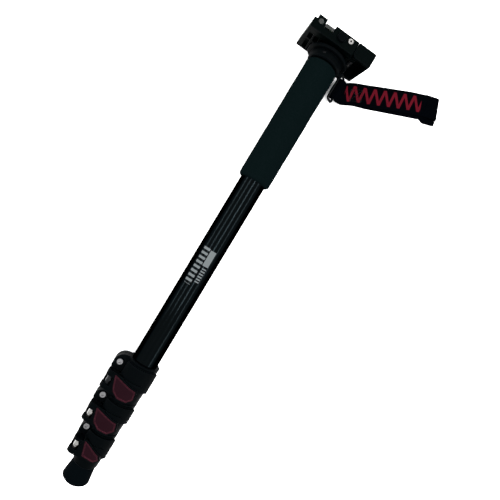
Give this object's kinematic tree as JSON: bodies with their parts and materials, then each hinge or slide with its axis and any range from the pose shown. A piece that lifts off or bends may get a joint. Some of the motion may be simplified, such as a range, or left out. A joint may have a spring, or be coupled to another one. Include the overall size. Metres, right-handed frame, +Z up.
{
  "type": "camera monopod",
  "caption": "Telescopic camera monopod folded flat, with flip-lever locks, a foam grip, a quick-release head with level vials, a wrist strap and a rubber foot",
  "frame": {"origin": "On the tube axis, where the camera seat of the quick-release plate meets the camera screw's thread", "axes": "+X runs along the tube from the foot to the head and out of the camera seat, +Y points to the side with the locks' ears, +Z points up from the surface that the folded monopod lies on"},
  "size_m": [0.5644, 0.1784, 0.049],
  "materials": {
    "anodised_tube": "black anodised, satin",
    "guide_plastic": "natural acetal, smooth",
    "foot_rubber": "matt moulded",
    "foam": "matt closed-cell foam",
    "black_plastic": "moulded, slight sheen",
    "head_plastic": "fine texture",
    "black_steel": "black oxide",
    "bright_steel": "bright plated",
    "vial": "clear tube with pale green liquid",
    "pad_rubber": "ribbed",
    "webbing": null,
    "red_insert": "dark red with a raised rim"
  },
  "bodies": {
    "upper_section": {"upper_tube": "anodised_tube", "tube_top_plug": "guide_plastic", "head_stud": "bright_steel", "foam_grip": "foam", "neck_collar": "black_plastic", "neck_set_screw": "black_steel", "neck_flange": "black_plastic", "platform": "head_plastic", "level_vial_long": "vial", "level_vial_end": "vial", "latch_rivet": "bright_steel", "release_pin": "bright_steel", "release_spring": "bright_steel", "button_spring": "bright_steel", "wrist_strap": "webbing", "lock_1_collar": "black_plastic", "lock_1_liner": "guide_plastic", "lock_1_clamp_screw": "bright_steel", "lock_1_clamp_nut": "bright_steel", "lock_1_cam_bolt": "bright_steel", "lock_1_barrel": "bright_steel"},
    "flip_lever_1": {"lock_1_lever": "black_plastic", "lock_1_insert": "red_insert"},
    "section_2": {"tube_2": "anodised_tube", "tube_2_guide": "guide_plastic", "lock_2_collar": "black_plastic", "lock_2_liner": "guide_plastic", "lock_2_clamp_screw": "bright_steel", "lock_2_clamp_nut": "bright_steel", "lock_2_cam_bolt": "bright_steel", "lock_2_barrel": "bright_steel"},
    "flip_lever_2": {"lock_2_lever": "black_plastic", "lock_2_insert": "red_insert"},
    "section_3": {"tube_3": "anodised_tube", "tube_3_guide": "guide_plastic", "lock_3_collar": "black_plastic", "lock_3_liner": "guide_plastic", "lock_3_clamp_screw": "bright_steel", "lock_3_clamp_nut": "bright_steel", "lock_3_cam_bolt": "bright_steel", "lock_3_barrel": "bright_steel"},
    "flip_lever_3": {"lock_3_lever": "black_plastic", "lock_3_insert": "red_insert"},
    "section_4": {"tube_4": "anodised_tube", "tube_4_guide": "guide_plastic", "foot_plug": "guide_plastic", "rubber_foot": "foot_rubber"},
    "camera_plate": {"quick_plate": "head_plastic", "plate_pad": "pad_rubber"},
    "mounting_screw": {"camera_screw": "bright_steel", "screw_clip": "black_steel"},
    "head_lever": {"release_lever": "head_plastic"},
    "head_button": {"safety_button": "black_plastic"},
    "ring": {"strap_ring": "bright_steel"}
  },
  "joints": [
    {"name": "section_2_slide", "type": "slide", "parent": "upper_section", "child": "section_2", "axis": [-1, 0, 0], "range_m": [0, 0.315]},
    {"name": "section_3_slide", "type": "slide", "parent": "section_2", "child": "section_3", "axis": [-1, 0, 0], "range_m": [0, 0.352]},
    {"name": "section_4_slide", "type": "slide", "parent": "section_3", "child": "section_4", "axis": [-1, 0, 0], "range_m": [0, 0.388]},
    {"name": "flip_lever_1_turn", "type": "hinge", "parent": "upper_section", "child": "flip_lever_1", "pos_m": [-0.4221, 0.0228, 0.009], "axis": [-1, 0, 0], "range_deg": [0, 150]},
    {"name": "flip_lever_2_turn", "type": "hinge", "parent": "section_2", "child": "flip_lever_2", "pos_m": [-0.4603, 0.0217, 0.009], "axis": [-1, 0, 0], "range_deg": [0, 150]},
    {"name": "flip_lever_3_turn", "type": "hinge", "parent": "section_3", "child": "flip_lever_3", "pos_m": [-0.4932, 0.0175, 0.0121], "axis": [-1, 0, 0], "range_deg": [0, 150]},
    {"name": "camera_plate_slide", "type": "slide", "parent": "upper_section", "child": "camera_plate", "axis": [0, 0, -1], "range_m": [0, 0.042]},
    {"name": "mounting_screw_turn", "type": "hinge", "parent": "camera_plate", "child": "mounting_screw", "pos_m": [0, 0, 0], "axis": [1, 0, 0], "continuous": true},
    {"name": "head_lever_turn", "type": "hinge", "parent": "upper_section", "child": "head_lever", "pos_m": [-0.0127, -0.0225, 0], "axis": [0, 0, -1], "range_deg": [0, 25], "stiffness_Nm_per_rad": 0.03, "springref_deg": -28.65},
    {"name": "head_button_press", "type": "slide", "parent": "upper_section", "child": "head_button", "axis": [0, 0, -1], "range_m": [0, 0.0025], "stiffness_N_per_m": 150, "springref_m": -0.003, "deforming": ["button_spring"]},
    {"name": "ring_swing", "type": "hinge", "parent": "upper_section", "child": "ring", "pos_m": [-0.0298, -0.0212, 0], "axis": [1, 0, 0], "range_deg": [-160, 60], "deforming": ["wrist_strap"]}
  ]
}
